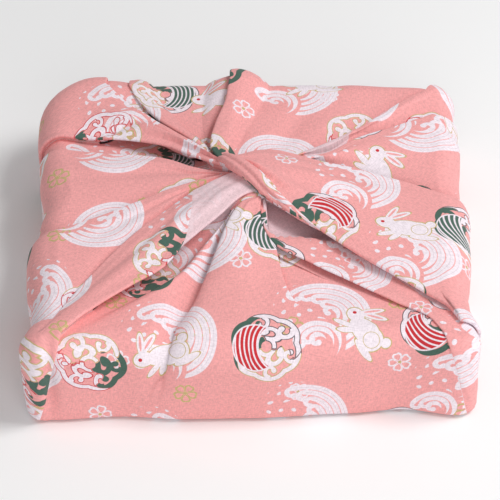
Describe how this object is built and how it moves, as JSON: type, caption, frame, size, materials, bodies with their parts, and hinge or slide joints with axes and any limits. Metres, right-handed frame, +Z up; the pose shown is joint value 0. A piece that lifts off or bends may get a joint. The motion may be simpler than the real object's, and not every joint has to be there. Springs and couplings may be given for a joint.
{
  "type": "furoshiki wrap",
  "caption": "Square printed cotton cloth folded round a flat box and tied on top: layered folds run out from a central knot over a hollow inside.",
  "frame": {"origin": "on the surface the wrap rests on, under the knot at the middle of the wrap", "axes": "+Z up, +Y to the back, +X to the right, seen from the front"},
  "size_m": [0.208, 0.2073, 0.0653],
  "materials": {
    "printed_cotton": "plain-woven cotton, pink ground with a printed pattern, pale reverse"
  },
  "bodies": {
    "root": {"wrap_cloth": "printed_cotton"}
  },
  "joints": []
}
